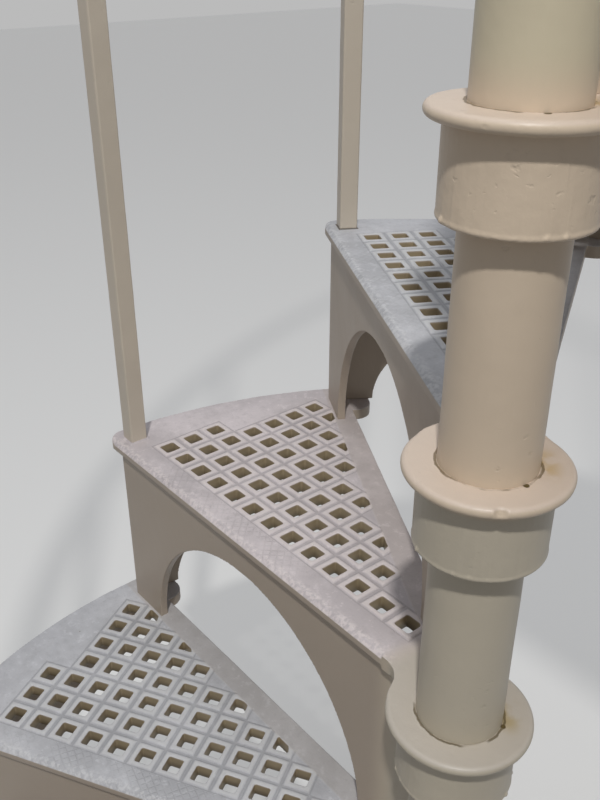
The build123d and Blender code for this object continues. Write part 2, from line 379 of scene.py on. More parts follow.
class Shader(Graph):
    """A material's tree, with its main shader and its output."""

    def __init__(self, name):
        self.material = bpy.data.materials.new(name)
        self.material.use_nodes = True
        super().__init__(self.material.node_tree)
        self.main = self.tree.nodes["Principled BSDF"]
        self.place = self.node("ShaderNodeTexCoord", output="Object")

    def noise(self, scale, detail=3.0, rough=0.55, vector=None):
        sockets = {"Vector": vector or self.place, "Scale": scale, "Detail": detail, "Roughness": rough}
        return self.node("ShaderNodeTexNoise", None, sockets)

    def cells(self, scale, vector=None):
        """Distance to the nearest of many scattered points, in cells."""
        sockets = {"Vector": vector or self.place, "Scale": scale}
        return self.node("ShaderNodeTexVoronoi", None, sockets)

    def bump(self, height, distance=0.0009, strength=0.8):
        """Normals tilted by a relief of the paint."""
        sockets = {"Height": height, "Distance": distance, "Strength": strength}
        return self.node("ShaderNodeBump", None, sockets)

    def finish(self, **sockets):
        """Sets sockets of the main shader, with _ for a space in their names. Gives the material."""
        for name, value in sockets.items():
            self.put(self.main.inputs[name.replace("_", " ")], value)
        return self.material


def seen_plainly(graph):
    """1 for what the view sees straight or in a reflection and 0 for light that falls on things."""
    rays = graph.tree.nodes.new("ShaderNodeLightPath")
    names = ("Is Camera Ray", "Is Glossy Ray", "Is Transmission Ray")
    straight, glossy, through = (Link(graph, rays.outputs[name]) for name in names)
    return graph.largest(graph.largest(straight, glossy), through)


def rgba(colour):
    return (*colour, 1.0)


def shade(colour, share):
    """A colour made darker or lighter."""
    return tuple(min(1.0, part * share) for part in colour[:3]) + (1.0,)


def step_angle(level):
    """Direction of the nosing of the step at a level, in radians."""
    turn = bpy.context.scene.stair_sizes.turn
    return LANDING_ANGLE + turn * (LANDING_LEVEL - level) / RISE


def step_place(level):
    """Where a step's own frame stands."""
    return Matrix.Translation((0, 0, level)) @ Matrix.Rotation(step_angle(level), 4, "Z")


def gloss(paint):
    """Roughness of the gloss paint."""
    return 0.34 + paint.noise(14.0) * 0.16


def pits(paint):
    """Scattered shallow pock marks in the paint: 1 in a pit and 0 elsewhere, in patches."""
    patch = paint.smooth(paint.noise(8.0, 2.0), 0.47, 0.60)
    wobble = paint.node("ShaderNodeTexNoise", None, {"Vector": paint.place, "Scale": 260.0}, output="Color")
    wobble = paint.scaled(wobble, 0.006)
    ragged = paint.node("ShaderNodeVectorMath", {"operation": "ADD"}, {0: paint.place, 1: wobble})
    stretched = paint.times(ragged, (1.0, 1.0, 1.5))
    large = 1.0 - paint.smooth(paint.cells(52.0, stretched), 0.03, 0.17)
    small = 1.0 - paint.smooth(paint.cells(105.0, stretched), 0.04, 0.17)
    return paint.largest(large, small * 0.5) * patch


def cream_coat(paint, colours):
    """Gloss cream paint: its colour and its relief."""
    broad = paint.noise(3.2, 3.0)
    fine = paint.noise(60.0, 4.0, 0.6)
    clouds = paint.smooth(broad, 0.35, 0.68)
    tone = paint.blend(clouds, shade(colours.cream, 0.94), shade(colours.cream, 1.06))
    tone = paint.blend(paint.smooth(fine, 0.50, 0.85) * 0.25, tone, shade(colours.cream, 0.84))
    holes = pits(paint)
    tone = paint.blend(holes * 0.10, tone, shade(colours.cream, 0.62))
    relief = paint.noise(38.0, 2.0) * 0.8 + paint.noise(210.0, 3.0) * 0.12 - holes * 0.38
    return tone, relief


def tinted(paint, tone, share, tint):
    """A colour multiplied by a tint where the share is 1."""
    return paint.blend(share, tone, paint.times(tone, tint))


def shaded_low_yellow_high(paint, tone):
    """Tints the hubs and the post: darker and cooler below the flange of one step as painted shade, warm
    above it, and yellow above a higher step.
    """
    x, y, z = paint.apart(paint.place)
    # Below the flange of one step the paint is darkened and cooled as painted shade.
    low_shade = (0.84, 0.87, 0.90, 1.0)
    warm = (1.04, 0.99, 0.985, 1.0)
    yellow = (1.02, 1.05, 1.00, 1.0)
    by_axis = 1.0 - paint.smooth(paint.far_out(x, y), 0.058, 0.075)
    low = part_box(SHADED_BELOW)[1].z - 0.012
    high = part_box(YELLOW_ABOVE)[1].z
    tint = paint.blend(paint.smooth(z, low - 0.004, low), low_shade, warm)
    tint = paint.blend(paint.smooth(z, high, high + 0.030), tint, yellow)
    return tinted(paint, tone, by_axis, tint)


def cream_paint(name, tint):
    """Thick gloss cream paint over iron, for the post, balusters and rails."""
    colours = bpy.context.scene.stair_colours
    paint = Shader(name)
    tone, relief = cream_coat(paint, colours)
    tone = paint.blend(0.5, tone, rgba(tint))
    return paint.finish(
        Base_Color=shaded_low_yellow_high(paint, tone),
        Roughness=gloss(paint),
        Normal=paint.bump(relief),
    )


def has_hole(graph, sizes, out, back):
    """1 where the middle of a cell of the hole grid has a hole and 0 elsewhere."""
    rear_border = 0.0017
    rim_border = 0.031
    outer_column_holes = 3
    half = sizes.hole / 2
    over = past_rear(sizes, out, back)
    reach = graph.far_out(out + half, back + half)
    last_column = sizes.first_out - 0.01
    last_row = sizes.first_back + (outer_column_holes - 0.5) * sizes.pitch
    crowded = (out > last_column) * (back > last_row)
    return (over < -rear_border) * (reach < sizes.outer_radius - rim_border) * (1.0 - crowded)


def past_rear(sizes, out, back):
    """How far a point of a step's plan lies behind the next nosing."""
    return back * math.cos(sizes.turn) - out * math.sin(sizes.turn)


def hole_field(graph, sizes, out, back):
    """How far a point of a step's plan lies from the middle of its cell of the hole grid,
    and 1 where that cell has a hole."""
    rear_wall = 0.0018
    column = (sizes.first_out - out) / sizes.pitch
    row = (back - sizes.first_back) / sizes.pitch
    near_column = graph.sum("ROUND", column)
    near_row = graph.sum("ROUND", row)
    far = graph.largest(abs(column - near_column), abs(row - near_row)) * sizes.pitch
    cell_out = sizes.first_out - near_column * sizes.pitch
    cell_back = sizes.first_back + near_row * sizes.pitch
    on_grid = (near_column > -0.5) * (near_row > -0.5) * (past_rear(sizes, out, back) < -rear_wall)
    return far, on_grid * has_hole(graph, sizes, cell_out, cell_back)


class StepPaint(Shader):
    """A casting's material, which knows where each point lies in its step's own frame."""

    def __init__(self, name, perforated):
        super().__init__(name)
        self.sizes = bpy.context.scene.stair_sizes
        self.colours = bpy.context.scene.stair_colours
        self.perforated = perforated
        self.plan = self.node("ShaderNodeAttribute", {"attribute_name": "plan"}, output="Vector")
        self.out, self.across, self.height = self.apart(self.plan)
        self.back = -self.across
        self.radius = self.far_out(self.out, self.back)
        self.world_x, self.world_y, self.world_z = self.apart(self.place)
        self.on_top = self.smooth(self.height, -0.0030, -0.0008)
        normal = self.apart(self.node("ShaderNodeNewGeometry", output="Normal"))
        self.facing = self.smooth(normal[2], 0.15, 0.60)
        flange = self.sizes.flange_radius
        self.off_hub = self.smooth(self.radius, flange - 0.004, flange + 0.030)
        if perforated:
            self.far, self.inside = hole_field(self, self.sizes, self.out, self.back)

    def spot(self, place, reach):
        """1 about a point of the step's own frame and 0 farther off than the reach."""
        return 1.0 - self.smooth(self.distance(self.plan, place), reach * 0.7, reach)

    def from_level(self, node):
        """How far each point lies above or below the top of a node."""
        return abs(self.world_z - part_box(node)[1].z)


def walked_on(paint):
    """1 on the walked-on face of the plate and the upper half of its nosing, less on the strip at the rear,
    and 0 elsewhere. The dusty top colour goes there, tinted lilac partly as painted cool light."""
    upper = paint.smooth(paint.height, -0.0090, -0.0030)
    in_front = paint.smooth(paint.across, -0.0010, 0.0020)
    worn_and_cool_lit = paint.largest(paint.on_top, upper * in_front) * paint.facing * paint.off_hub
    if not paint.perforated:
        return worn_and_cool_lit
    strip = paint.smooth(past_rear(paint.sizes, paint.out, paint.back), -0.0040, -0.0020)
    return worn_and_cool_lit * (1.0 - strip * 0.25)


def diamond_lines(paint):
    """1 on the worn lines of the diamond hatch and 0 between them."""
    each = 2 * math.pi / paint.sizes.hatch
    drift = paint.noise(30.0, 2.0) * 0.0024
    one_way = paint.sum("COSINE", (paint.out + paint.back + drift) * each)
    other_way = paint.sum("COSINE", (paint.out - paint.back + drift) * each)
    lines = paint.smooth(paint.largest(one_way, other_way), 0.62, 1.0)
    return lines * paint.smooth(paint.noise(34.0, 4.0), 0.34, 0.60)


def dusty_cool_lit_coat(paint):
    """Dusty paint of a walking face, tinted lilac partly as painted cool light: its colour and its relief.
    """
    worn_and_cool_lit = paint.colours.worn_and_cool_lit
    cloudy = paint.noise(11.0, 5.0, 0.6)
    mottle = paint.noise(95.0, 3.0, 0.7)
    specks = paint.noise(300.0, 2.0, 0.6)
    tone = paint.blend(paint.smooth(cloudy, 0.36, 0.66), shade(worn_and_cool_lit, 0.88), shade(worn_and_cool_lit, 1.10))
    tone = paint.blend(paint.smooth(mottle, 0.50, 0.72) * 0.45, tone, shade(worn_and_cool_lit, 0.78))
    tone = paint.blend(paint.smooth(mottle, 0.46, 0.28) * 0.6, tone, shade(worn_and_cool_lit, 1.26))
    tone = paint.blend(paint.smooth(specks, 0.60, 0.70) * 0.3, tone, shade(worn_and_cool_lit, 0.70))
    grain = paint.noise(420.0, 3.0) * 0.25 + cloudy * 0.5
    hatch = diamond_lines(paint)
    if not paint.perforated:
        return paint.blend(hatch * 0.18, tone, shade(worn_and_cool_lit, 0.70)), grain - hatch * 0.6
    return holed_face(paint, tone, grain, hatch)


def holed_face(paint, tone, grain, hatch):
    """Adds the rubbed nosing, lightened partly as wear and partly as a painted highlight, the hatched
    border, the pale rims and the grooves between them, darkened as painted shade.
    """
    sizes = paint.sizes
    worn_and_cool_lit = paint.colours.worn_and_cool_lit
    first_line = sizes.first_back - sizes.pitch / 2
    on_border = (1.0 - paint.smooth(paint.back, first_line - 0.001, first_line)) * (1.0 - paint.inside)
    # Along the nosing the paint is lightened, partly as rubbed wear and partly as a painted highlight.
    rubbed = (1.0 - paint.smooth(paint.back, -0.0010, 0.0060)) * paint.smooth(paint.noise(240.0), 0.42, 0.60)
    tone = paint.blend(rubbed * 0.45, tone, shade(paint.colours.rim, 1.20))
    kept = (1.0 - paint.smooth(paint.out, 0.40, 0.47) * 0.7) * paint.smooth(paint.out, 0.17, 0.26)
    hatch = hatch * on_border * kept
    tone = paint.blend(hatch * 0.25, tone, shade(worn_and_cool_lit, 0.66))
    rim_edge = sizes.hole / 2 + sizes.rim_width
    on_rim = paint.inside * (1.0 - paint.smooth(paint.far, rim_edge - 0.0016, rim_edge + 0.0006))
    # The rims take the pale rim colour, its lilac tint partly painted cool light.
    tone = paint.blend(on_rim * 0.80, tone, rgba(paint.colours.rim))
    # The grooves between the rims are darkened as painted shade.
    groove = paint.inside * paint.smooth(paint.far, rim_edge + 0.0002, rim_edge + 0.0012)
    tone = paint.blend(groove * (0.26 + paint.noise(35.0) * 0.50), tone, shade(worn_and_cool_lit, 0.60))
    return tone, grain - hatch * 0.45 - groove * 0.5


def hole_walls(paint, tone):
    """Tan, mottled walls of the holes, darker towards the bottom."""
    wall_colour = paint.colours.wall
    deep = paint.smooth(-paint.height, 0.0004, 0.0022) * paint.smooth(paint.height, -0.0165, -0.0140)
    wall = paint.inside * (1.0 - paint.smooth(paint.far, 0.0100, 0.0108)) * deep
    grime = paint.blend(paint.noise(70.0, 4.0), rgba(wall_colour), shade(wall_colour, 1.7))
    # Darker towards the bottom of each hole.
    lower = paint.smooth(-paint.height, 0.0050, 0.0130)
    grime = paint.blend(lower * 0.7, grime, shade(wall_colour, 0.35))
    return paint.blend(wall * 0.95, tone, grime)


def stained_by_post(paint, tone):
    """Adds the weeping on one side of the post and the crack round its foot. Gives the colour
    and the crack."""
    stain = paint.colours.stain
    edge = paint.sizes.post_radius
    stained_side = math.radians(-136)
    around = paint.sum("ARCTAN2", paint.world_y, paint.world_x)
    side = 1.0 - paint.smooth(abs(around - stained_side), 0.20, 0.62)
    by_post = 1.0 - paint.smooth(paint.radius, edge + 0.004, edge + 0.017)
    weeping = side * by_post * paint.on_top * paint.smooth(paint.noise(60.0), 0.34, 0.58)
    tone = paint.blend(weeping * 0.65, tone, rgba(stain))
    crooked = paint.radius + (paint.noise(90.0) - 0.5) * 0.0040
    crack = 1.0 - paint.smooth(abs(crooked - (edge + 0.0012)), 0.0005, 0.0013)
    crack = crack * paint.on_top * paint.smooth(paint.noise(24.0), 0.38, 0.50)
    return paint.blend(crack * 0.80, tone, shade(stain, 0.25)), crack


def open_at_foot(paint, tone):
    """Dark line painted round the foot of the loose baluster: painted shade where it stands open."""
    sizes = paint.sizes
    line = sizes.baluster_side / 2 + 0.0005
    from_foot = paint.largest(abs(paint.out - sizes.baluster_out), abs(paint.back - sizes.baluster_back))
    # Painted shade: a thin dark line where the loose baluster stands open at its foot.
    gap_shade = 1.0 - paint.smooth(abs(from_foot - line), 0.0004, 0.0011)
    gap_shade = gap_shade * paint.on_top * (paint.from_level(LOOSE_FOOT) < 0.01)
    return paint.blend(gap_shade * 0.85, tone, shade(paint.colours.stain, 0.15))


def dark_specks(paint):
    """Chips of the paint, a bolt low in the riser and a pin hole by the post."""
    bolt_place = (0.4530, -0.0045, 0.034 - RISE)
    pin_place = (-0.0314, -0.0127, 0.0)
    chips = paint.smooth(paint.cells(26.0), 0.050, 0.034) * paint.smooth(paint.noise(7.0), 0.50, 0.58)
    chipped = paint.largest(chips * 0.8, paint.spot(bolt_place, 0.0022))
    return paint.largest(chipped, paint.spot(pin_place, 0.0024))


def casting_paint(name, perforated):
    """Cream paint of a step: gloss below and darkened away from the boss as painted shade; dusty on the
    plate, tinted there partly as painted cool and warm light; hole walls darker towards the bottom.
    """
    # Tints of the dusty tops: warm is painted warm lamp light near one tread, cool is painted cool light
    # elsewhere.
    painted_warm_light = (1.03, 1.02, 0.98)
    painted_cool_light = (0.88, 0.96, 0.95)
    paint = StepPaint(name, perforated)
    colours = paint.colours
    tone, relief = cream_coat(paint, colours)
    boss = paint.sizes.boss_radius
    off_boss = paint.smooth(paint.radius, boss + 0.012, boss + 0.050)
    # Away from the boss the cream goes towards the riser colour: painted shade on the risers, legs and
    # undersides.
    tone = paint.blend(off_boss * 0.75, tone, rgba(colours.riser))
    worn_and_cool_lit = walked_on(paint)
    dust_and_painted_light, scuffs = dusty_cool_lit_coat(paint)
    # Near that tread the tops take the painted warm light, away from it the painted cool light.
    away = paint.smooth(paint.from_level(WARM_LIT_TREAD), 0.03, 0.10)
    dust_and_painted_light = tinted(paint, dust_and_painted_light, 1.0 - away, painted_warm_light)
    dust_and_painted_light = tinted(paint, dust_and_painted_light, away, painted_cool_light)
    tone = paint.blend(worn_and_cool_lit, tone, dust_and_painted_light)
    # Up-facing flange tops take the paler flange colour: painted light from above.
    on_flange = paint.on_top * paint.facing * (1.0 - paint.off_hub)
    tone = paint.blend(on_flange * 0.55, tone, rgba(colours.flange))
    if perforated:
        tone = hole_walls(paint, tone)
    tone, crack = stained_by_post(paint, tone)
    tone = shaded_low_yellow_high(paint, open_at_foot(paint, tone))
    specks = dark_specks(paint)
    tone = paint.blend(specks, tone, shade(colours.stain, 0.22))
    brushed = paint.noise(110.0) * (1.0 - paint.off_hub) * 0.5
    sunk = paint.largest(specks, crack) * 0.6
    dull = 0.50 + paint.noise(11.0) * 0.2
    paint.finish(
        Base_Color=tone,
        Roughness=gloss(paint) * (1.0 - worn_and_cool_lit) + dull * worn_and_cool_lit,
        Normal=paint.bump((relief + brushed) * (1.0 - worn_and_cool_lit) + scuffs * worn_and_cool_lit - sunk),
    )
    return paint


def plain_mesh(source, name):
    """A plain mesh object made from another object with its modifiers applied, which it
    takes the place of."""
    graph = bpy.context.evaluated_depsgraph_get()
    mesh = bpy.data.meshes.new_from_object(source.evaluated_get(graph))
    piece = bpy.data.objects.new(name, mesh)
    bpy.context.scene.collection.objects.link(piece)
    bpy.data.objects.remove(source)
    return piece


def cad_shell(node, place):
    """A copy of a node's surface in the frame of a place, with its loose triangles joined
    and its flat faces made whole."""
    weld = 0.00001
    flat = math.radians(1.0)
    shell = bmesh.new()
    shell.from_mesh(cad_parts[node].data)
    shell.transform(place.inverted())
    bmesh.ops.remove_doubles(shell, verts=shell.verts, dist=weld)
    bmesh.ops.dissolve_limit(shell, angle_limit=flat, verts=shell.verts, edges=shell.edges)
    mesh = bpy.data.meshes.new(node + "_shell")
    shell.to_mesh(mesh)
    shell.free()
    return mesh


def tube_along(graph, curve, radius, sides=10):
    """A round bar along a curve."""
    ring = graph.node("GeometryNodeCurvePrimitiveCircle", None, {"Resolution": sides, "Radius": radius})
    sockets = {"Curve": curve, "Profile Curve": ring, "Fill Caps": True}
    return graph.node("GeometryNodeCurveToMesh", None, sockets)


def ring_at(graph, radius, height, thickness):
    """A round bar bent into a ring about the post."""
    circle = graph.node("GeometryNodeCurvePrimitiveCircle", None, {"Resolution": 72, "Radius": radius})
    return graph.moved(tube_along(graph, circle, thickness), (0.0, 0.0, height))


def new_fittings(name, inputs):
    """An empty Geometry Nodes tree with a mesh in and a mesh out and named inputs."""
    tree = bpy.data.node_groups.new(name, "GeometryNodeTree")
    tree.interface.new_socket("Geometry", in_out="INPUT", socket_type="NodeSocketGeometry")
    for title, kind, default in inputs:
        socket = tree.interface.new_socket(title, in_out="INPUT", socket_type=kind)
        if default is not None:
            socket.default_value = default
    tree.interface.new_socket("Geometry", in_out="OUTPUT", socket_type="NodeSocketGeometry")
    graph = Graph(tree)
    entry = tree.nodes.new("NodeGroupInput")
    given = {output.name: Link(graph, output) for output in entry.outputs}
    return tree, graph, given


def close_fittings(graph, geometry, material):
    """Ends a tree with Realize Instances and Set Material."""
    real = graph.node("GeometryNodeRealizeInstances", None, {"Geometry": geometry})
    done = graph.node("GeometryNodeSetMaterial", None, {"Geometry": real, "Material": material})
    graph.put(graph.tree.nodes.new("NodeGroupOutput").inputs[0], done)


def add_fittings(target, tree, **values):
    """Puts a tree on an object and sets its named inputs."""
    modifier = target.modifiers.new(tree.name, "NODES")
    modifier.node_group = tree
    for item in tree.interface.items_tree:
        if item.in_out == "INPUT" and item.name in values:
            modifier[item.identifier] = values[item.name]


def rims_tree(sizes):
    """Raised rims round the holes of a perforated plate, and the plain strip behind them."""
    inputs = [
        ("Hole", "NodeSocketFloat", sizes.hole),
        ("Pitch", "NodeSocketFloat", sizes.pitch),
        ("First Out", "NodeSocketFloat", sizes.first_out),
        ("First Back", "NodeSocketFloat", sizes.first_back),
        ("Rim Width", "NodeSocketFloat", sizes.rim_width),
        ("Rim Height", "NodeSocketFloat", sizes.rim_height),
        ("Strip", "NodeSocketFloat", sizes.strip),
        ("Material", "NodeSocketMaterial", None),
    ]
    count = 14
    rim_corner = 0.0026
    rim_limit = 0.001
    strip_start = 0.078
    strip_end = sizes.outer_radius - 0.006
    strip_overhang = 0.0025
    tree, graph, given = new_fittings("hole_rims", inputs)
    span = given["Pitch"] * (count - 1)
    sockets = {"Size X": span, "Size Y": span, "Vertices X": count, "Vertices Y": count}
    grid = graph.node("GeometryNodeMeshGrid", None, sockets)
    corner = graph.vector(given["First Out"] - span / 2.0, -given["First Back"] - span / 2.0, 0.0)
    grid = graph.moved(grid, corner)
    bare = has_hole(graph, sizes, *graph.plan_place()) < 0.5
    sockets = {"Geometry": grid, "Selection": bare}
    kept = graph.node("GeometryNodeDeleteGeometry", {"domain": "POINT"}, sockets)
    side = given["Hole"] + given["Rim Width"]
    corners = {"Curve": graph.rectangle(side, side), "Radius": rim_corner, "Count": 3}
    square = graph.node("GeometryNodeFilletCurve", {"mode": "POLY"}, corners)
    # Half of the depth of the rims and of the strip lies under the plate's top.
    section = graph.rectangle(given["Rim Width"], given["Rim Height"] * 2.0)
    rim = graph.node("GeometryNodeCurveToMesh", None, {"Curve": square, "Profile Curve": section})
    rims = graph.node("GeometryNodeInstanceOnPoints", None, {"Points": kept, "Instance": rim})
    rims = graph.node("GeometryNodeRealizeInstances", None, {"Geometry": rims})
    excess = graph.largest(past_rear(sizes, *graph.plan_place()) + rim_limit, 0.0)
    inward = graph.vector(excess * math.sin(sizes.turn), excess * math.cos(sizes.turn), 0.0)
    rims = graph.pushed(rims, inward)
    length = strip_end - strip_start
    size = graph.vector(length, given["Strip"], given["Rim Height"] * 2.4)
    strip = graph.node("GeometryNodeMeshCube", None, {"Size": size})
    middle = Vector((strip_start + length / 2, strip_overhang - sizes.strip / 2, 0.0))
    middle.rotate(Matrix.Rotation(-sizes.turn, 3, "Z"))
    strip = graph.moved(strip, tuple(middle), (0.0, 0.0, -sizes.turn))
    close_fittings(graph, graph.joined([rims, strip, given["Geometry"]]), given["Material"])
    return tree


def beads_tree(sizes):
    """Rounded nosing, lip of the boss, and thick paint at the feet of the post and baluster."""
    inputs = [
        ("Nosing Start", "NodeSocketFloat", 0.080),
        ("Nosing End", "NodeSocketFloat", sizes.outer_radius - 0.022),
        ("Seed", "NodeSocketInt", 1),
        ("Drips", "NodeSocketInt", 26),
        ("Collar", "NodeSocketFloat", 0.0022),
        ("Material", "NodeSocketMaterial", None),
    ]
    proud = 0.0003
    collar_side = sizes.baluster_side - 0.0005
    tree, graph, given = new_fittings("paint_beads", inputs)
    half = sizes.plate / 2
    across = sizes.overhang - half - proud
    start = graph.vector(given["Nosing Start"], across, -half)
    end = graph.vector(given["Nosing End"], across, -half)
    line = graph.node("GeometryNodeCurvePrimitiveLine", None, {"Start": start, "End": end})
    nosing = tube_along(graph, line, half + proud, sides=20)
    lip = ring_at(graph, sizes.boss_radius - 0.0012, height=0.0016 - sizes.boss_depth, thickness=0.0018)
    drips = blobs_round(graph, sizes.boss_radius - 0.0006, height=0.002 - sizes.boss_depth, given=given)
    seam = ring_at(graph, sizes.post_radius + 0.0010, height=-0.0011, thickness=0.0016)
    collar = tube_along(graph, graph.rectangle(collar_side, collar_side), given["Collar"], sides=12)
    collar = graph.moved(collar, (sizes.baluster_out, -sizes.baluster_back, 0.0))
    pieces = [nosing, lip, drips, seam, collar, given["Geometry"]]
    close_fittings(graph, graph.joined(pieces), given["Material"])
    return tree


def blobs_round(graph, radius, height, given):
    """Blobs of paint of uneven size on a ring about the post, with a share of them left out."""
    blob_radius = 0.0022
    left_out = 0.55
    circle = graph.node("GeometryNodeCurvePrimitiveCircle", None, {"Resolution": 90, "Radius": radius})
    circle = graph.moved(circle, (0.0, 0.0, height))
    sockets = {"Curve": circle, "Count": given["Drips"]}
    spots = graph.node("GeometryNodeCurveToPoints", {"mode": "COUNT"}, sockets)
    chosen = uneven(graph, 0.0, 1.0, given["Seed"])
    scale = uneven(graph, 0.55, 1.15, given["Seed"] + 7)
    blob = graph.node("GeometryNodeMeshIcoSphere", None, {"Radius": blob_radius, "Subdivisions": 2})
    sockets = {"Points": spots, "Selection": chosen > left_out, "Instance": blob, "Scale": scale}
    return graph.node("GeometryNodeInstanceOnPoints", None, sockets)


def uneven(graph, least, most, seed):
    """A number between two limits, another for each point."""
    sockets = {2: least, 3: most, "Seed": seed}
    return graph.node("FunctionNodeRandomValue", {"data_type": "FLOAT"}, sockets, output=1)


def round_edge(graph, sizes, out, across, height):
    """How far each point of a flange's free edge moves to give it a full round."""
    slack_out = 0.0015
    slack_below = 0.0010
    plate_from = math.radians(58)
    plate_to = math.radians(44)
    half = sizes.flange_depth / 2
    radius = graph.far_out(out, across)
    beyond = radius - (sizes.flange_radius - half)
    above = height + half
    reach = graph.far_out(beyond, above)
    on_flange = (radius < sizes.flange_radius + slack_out) * (height > -slack_below - sizes.flange_depth)
    edge = (beyond > 0.0) * (reach > half) * on_flange
    turn = sizes.turn / 2
    towards_plate = (out * math.cos(turn) - across * math.sin(turn)) / radius
    free = 1.0 - graph.smooth(towards_plate, math.cos(plate_from), math.cos(plate_to))
    pull = (half / reach - 1.0) * edge * free
    inward = beyond * pull / radius
    return graph.vector(out * inward, across * inward, above * pull)


def relief_tree(sizes):
    """Round edge of the flange with one nick in it, and the grooves between the rims."""
    inputs = [
        ("Groove", "NodeSocketFloat", sizes.groove),
        ("Nick Place", "NodeSocketVector", (0.0, 0.0, 0.0)),
        ("Nick Size", "NodeSocketFloat", 0.0),
        ("Material", "NodeSocketMaterial", None),
    ]
    nick_core = 0.35
    nick_depth = 0.45
    tree, graph, given = new_fittings("plate_relief", inputs)
    place = graph.node("GeometryNodeInputPosition")
    out, across, height = graph.apart(place)
    normal = graph.node("GeometryNodeInputNormal")
    rounded = graph.pushed(given["Geometry"], round_edge(graph, sizes, out, across, height))
    far, inside = hole_field(graph, sizes, out, -across)
    rim_edge = sizes.hole / 2 + sizes.rim_width
    between_rims = graph.smooth(far, rim_edge - 0.0004, rim_edge + 0.0010)
    sunk = inside * between_rims * graph.smooth(height, -0.002, -0.001)
    nick = graph.distance(place, given["Nick Place"])
    nick = 1.0 - graph.smooth(nick, given["Nick Size"] * nick_core, given["Nick Size"])
    push = -(sunk * given["Groove"]) - nick * given["Nick Size"] * nick_depth
    moved = graph.pushed(rounded, graph.scaled(normal, push))
    close_fittings(graph, moved, given["Material"])
    return tree


def lumps_tree():
    """Slow swells of thick paint, pushed out along the surface."""
    inputs = [
        ("Depth", "NodeSocketFloat", 0.0006),
        ("Size", "NodeSocketFloat", 32.0),
        ("Seed", "NodeSocketInt", 1),
        ("Material", "NodeSocketMaterial", None),
    ]
    tree, graph, given = new_fittings("paint_lumps", inputs)
    place = graph.node("GeometryNodeInputPosition")
    normal = graph.node("GeometryNodeInputNormal")
    sockets = {"Vector": place, "W": given["Seed"] * 3.7, "Scale": given["Size"], "Detail": 2.0}
    swell = graph.node("ShaderNodeTexNoise", {"noise_dimensions": "4D"}, sockets)
    push = (swell - 0.5) * given["Depth"]
    moved = graph.pushed(given["Geometry"], graph.scaled(normal, push))
    smooth = graph.node("GeometryNodeSetShadeSmooth", None, {"Geometry": moved})
    close_fittings(graph, smooth, given["Material"])
    return tree


def paint_skin(target, grain, passes):
    """Melts joined forms into one skin, as many coats of paint do, and smooths it in passes."""
    skin = target.modifiers.new("skin", "REMESH")
    skin.mode = "VOXEL"
    skin.voxel_size = grain
    soft = target.modifiers.new("soft", "SMOOTH")
    soft.factor = 0.5
    soft.iterations = passes


def thin_out(target, share):
    """Leaves a share of an object's faces."""
    thin = target.modifiers.new("thin", "DECIMATE")
    thin.ratio = share


def keep_plan(mesh):
    """Stores each point's place in its step's own frame, for the paint to follow."""
    plan = mesh.attributes.new("plan", "FLOAT_VECTOR", "POINT")
    places = [0.0] * (3 * len(mesh.vertices))
    mesh.vertices.foreach_get("co", places)
    plan.data.foreach_set("vector", places)


def rough_form(node, place):
    """A new object with a node's form, in the frame of a place."""
    rough = bpy.data.objects.new(node + "_rough", cad_shell(node, place))
    bpy.context.scene.collection.objects.link(rough)
    return rough


def cast_step(node, place, paint, share):
    """One casting: the node's form with rims, beads and drips under a thick skin of paint."""
    sizes = bpy.context.scene.stair_sizes
    rough = rough_form(node, place)
    seed = len(node) + round(place.translation.z / RISE)
    if paint.perforated:
        add_fittings(rough, rims_tree(sizes), Material=paint.material)
    collar = 0.0005 if node == LOOSE_FOOT else 0.0022
    add_fittings(rough, beads_tree(sizes), Seed=seed, Collar=collar, Material=paint.material)
    paint_skin(rough, sizes.grain, 1)
    edge = sizes.flange_radius - 0.0012
    nick_height = -0.0028
    relief = {
        "Groove": sizes.groove if paint.perforated else 0.0,
        "Nick Place": (edge * math.cos(NICK_SIDE), edge * math.sin(NICK_SIDE), nick_height),
        "Nick Size": 0.0050 if node == NICKED else 0.0,
    }
    add_fittings(rough, relief_tree(sizes), Material=paint.material, **relief)
    thin_out(rough, share)
    piece = plain_mesh(rough, node + "_plain")
    keep_plan(piece.data)
    piece.data.transform(place)
    add_fittings(piece, lumps_tree(), Depth=0.0009, Size=30.0, Seed=seed, Material=paint.material)
    settle(plain_mesh(piece, "cast_" + node), node, paint.material)


def dressed(node, paint, grain, share):
    """A node's form under a skin of paint, its edges softened."""
    rough = rough_form(node, Matrix.Identity(4))
    paint_skin(rough, grain, 2)
    thin_out(rough, share)
    add_fittings(rough, lumps_tree(), Depth=0.0006, Size=34.0, Seed=len(node), Material=paint)
    settle(plain_mesh(rough, "painted_" + node), node, paint)


def settle(piece, node, paint):
    """Gives a finished piece its paint and its body, and hides the node that it stands for."""
    piece.data.materials.clear()
    piece.data.materials.append(paint)
    for polygon in piece.data.polygons:
        polygon.use_smooth = True
    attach(piece, "root")
    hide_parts(node)


class StairTreads(bpy.types.Operator):
    """Perforated wedge treads, each one casting with its riser, bracket, lug and hub"""

    bl_idname = "stair.treads"
    bl_label = "Treads"

    def execute(self, context):
        paint = casting_paint("tread_paint", True)
        share = context.scene.stair_sizes.skin_share
        for node, level in zip(TREADS, TREAD_LEVELS):
            cast_step(node, step_place(level), paint, share)
        return {"FINISHED"}


class StairLanding(bpy.types.Operator):
    """Plain landing plate with its riser"""

    bl_idname = "stair.landing"
    bl_label = "Landing"

    def execute(self, context):
        paint = casting_paint("landing_paint", False)
        cast_step("landing", step_place(LANDING_LEVEL), paint, share=0.045)
        return {"FINISHED"}


